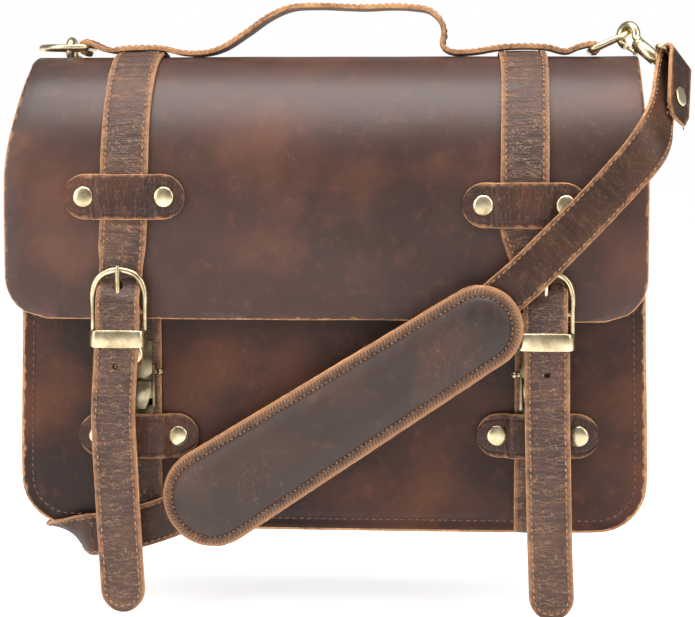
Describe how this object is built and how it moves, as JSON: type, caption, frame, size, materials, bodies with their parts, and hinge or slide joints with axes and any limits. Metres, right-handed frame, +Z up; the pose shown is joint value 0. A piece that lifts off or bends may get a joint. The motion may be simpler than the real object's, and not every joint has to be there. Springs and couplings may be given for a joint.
{
  "type": "satchel bag",
  "caption": "Flap-over leather satchel with buckled straps on press clasps, a top grip handle and a padded shoulder strap clipped to rings.",
  "frame": {"origin": "underside of the grip handle where a hand or hanger carries it", "axes": "+X to the right seen from the front, +Y towards the back, +Z up"},
  "size_m": [0.4347, 0.1617, 0.3869],
  "materials": {
    "body_leather": "oiled pull-up",
    "strap_leather": "oiled pull-up with raw tan edges",
    "antique_brass": "satin antique"
  },
  "bodies": {
    "bag": {"back_panel": "body_leather", "gusset": "body_leather", "front_panel": "body_leather", "handle": "strap_leather", "strap_rear": "strap_leather", "hook_eye_left": "antique_brass", "hook_left": "antique_brass", "hook_right": "antique_brass", "strap_back_left": "strap_leather", "panel_strap_left": "strap_leather", "lower_tab_left": "strap_leather", "lower_rivet_outer_left": "antique_brass", "lower_rivet_inner_left": "antique_brass", "clasp_frame_left": "antique_brass", "strap_back_right": "strap_leather", "panel_strap_right": "strap_leather", "lower_tab_right": "strap_leather", "lower_rivet_outer_right": "antique_brass", "lower_rivet_inner_right": "antique_brass", "clasp_frame_right": "antique_brass"},
    "flap": {"flap_panel": "body_leather", "flap_strap_left": "strap_leather", "upper_tab_left": "strap_leather", "upper_rivet_outer_left": "antique_brass", "upper_rivet_inner_left": "antique_brass", "chape_left": "strap_leather", "clasp_hook_left": "antique_brass", "clasp_rivet_left": "antique_brass", "buckle_frame_left": "antique_brass", "flap_strap_right": "strap_leather", "upper_tab_right": "strap_leather", "upper_rivet_outer_right": "antique_brass", "upper_rivet_inner_right": "antique_brass", "chape_right": "strap_leather", "clasp_hook_right": "antique_brass", "clasp_rivet_right": "antique_brass", "buckle_frame_right": "antique_brass"},
    "strap": {"shoulder_strap": "strap_leather", "shoulder_pad": "strap_leather", "strap_rivet": "antique_brass", "hook_eye_right": "antique_brass"},
    "tail_left": {"tail_left": "strap_leather"},
    "tongue_left": {"buckle_tongue_left": "antique_brass"},
    "lever_left": {"clasp_lever_left": "antique_brass"},
    "ring_left": {"ring_left": "antique_brass"},
    "trigger_left": {"trigger_left": "antique_brass"},
    "tail_right": {"tail_right": "strap_leather"},
    "tongue_right": {"buckle_tongue_right": "antique_brass"},
    "lever_right": {"clasp_lever_right": "antique_brass"},
    "ring_right": {"ring_right": "antique_brass"},
    "trigger_right": {"trigger_right": "antique_brass"}
  },
  "joints": [
    {"name": "flap_open", "type": "hinge", "parent": "bag", "child": "flap", "pos_m": [-0.02, -0.029, -0.0346], "axis": [-1, 0, 0], "range_deg": [0, 95]},
    {"name": "strap_swing", "type": "hinge", "parent": "bag", "child": "strap", "pos_m": [0.188, -0.029, -0.0346], "axis": [-1, 0, 0], "range_deg": [0, 95]},
    {"name": "tail_left_lift", "type": "hinge", "parent": "flap", "child": "tail_left", "pos_m": [-0.1495, -0.0905, -0.2125], "axis": [-1, 0, 0], "range_deg": [0, 60]},
    {"name": "tongue_left_lift", "type": "hinge", "parent": "flap", "child": "tongue_left", "pos_m": [-0.1495, -0.084, -0.191], "axis": [1, 0, 0], "range_deg": [0, 5]},
    {"name": "tail_right_lift", "type": "hinge", "parent": "flap", "child": "tail_right", "pos_m": [0.1165, -0.0905, -0.2125], "axis": [-1, 0, 0], "range_deg": [0, 20]},
    {"name": "tongue_right_lift", "type": "hinge", "parent": "flap", "child": "tongue_right", "pos_m": [0.1165, -0.084, -0.191], "axis": [1, 0, 0], "range_deg": [0, 5]},
    {"name": "lever_left_press", "type": "hinge", "parent": "bag", "child": "lever_left", "pos_m": [-0.141, -0.0734, -0.237], "axis": [-1, 0, 0], "range_deg": [0, 22], "stiffness_Nm_per_rad": 0.02, "springref_deg": -5.73},
    {"name": "lever_right_press", "type": "hinge", "parent": "bag", "child": "lever_right", "pos_m": [0.113, -0.0734, -0.237], "axis": [-1, 0, 0], "range_deg": [0, 22], "stiffness_Nm_per_rad": 0.02, "springref_deg": -5.73},
    {"name": "ring_left_tip", "type": "hinge", "parent": "bag", "child": "ring_left", "pos_m": [-0.1835, 0, -0.0234], "axis": [0, 1, 0], "range_deg": [0, 4]},
    {"name": "ring_right_tip", "type": "hinge", "parent": "bag", "child": "ring_right", "pos_m": [0.147, 0, -0.0234], "axis": [0, -1, 0], "range_deg": [-2.5, 2]},
    {"name": "trigger_left_press", "type": "hinge", "parent": "bag", "child": "trigger_left", "pos_m": [-0.19769, 0.02927, -0.02733], "axis": [0.9979, -0.046, 0.0455], "range_deg": [0, 10], "stiffness_Nm_per_rad": 0.002, "springref_deg": -5.73},
    {"name": "trigger_right_press", "type": "hinge", "parent": "bag", "child": "trigger_right", "pos_m": [0.17539, -0.01425, -0.02448], "axis": [0.7018, 0.6979, -0.1429], "range_deg": [0, 10], "stiffness_Nm_per_rad": 0.002, "springref_deg": -5.73}
  ],
  "couplings": [
    {"joint": "strap_swing", "follows": "flap_open", "ratio": 1}
  ]
}
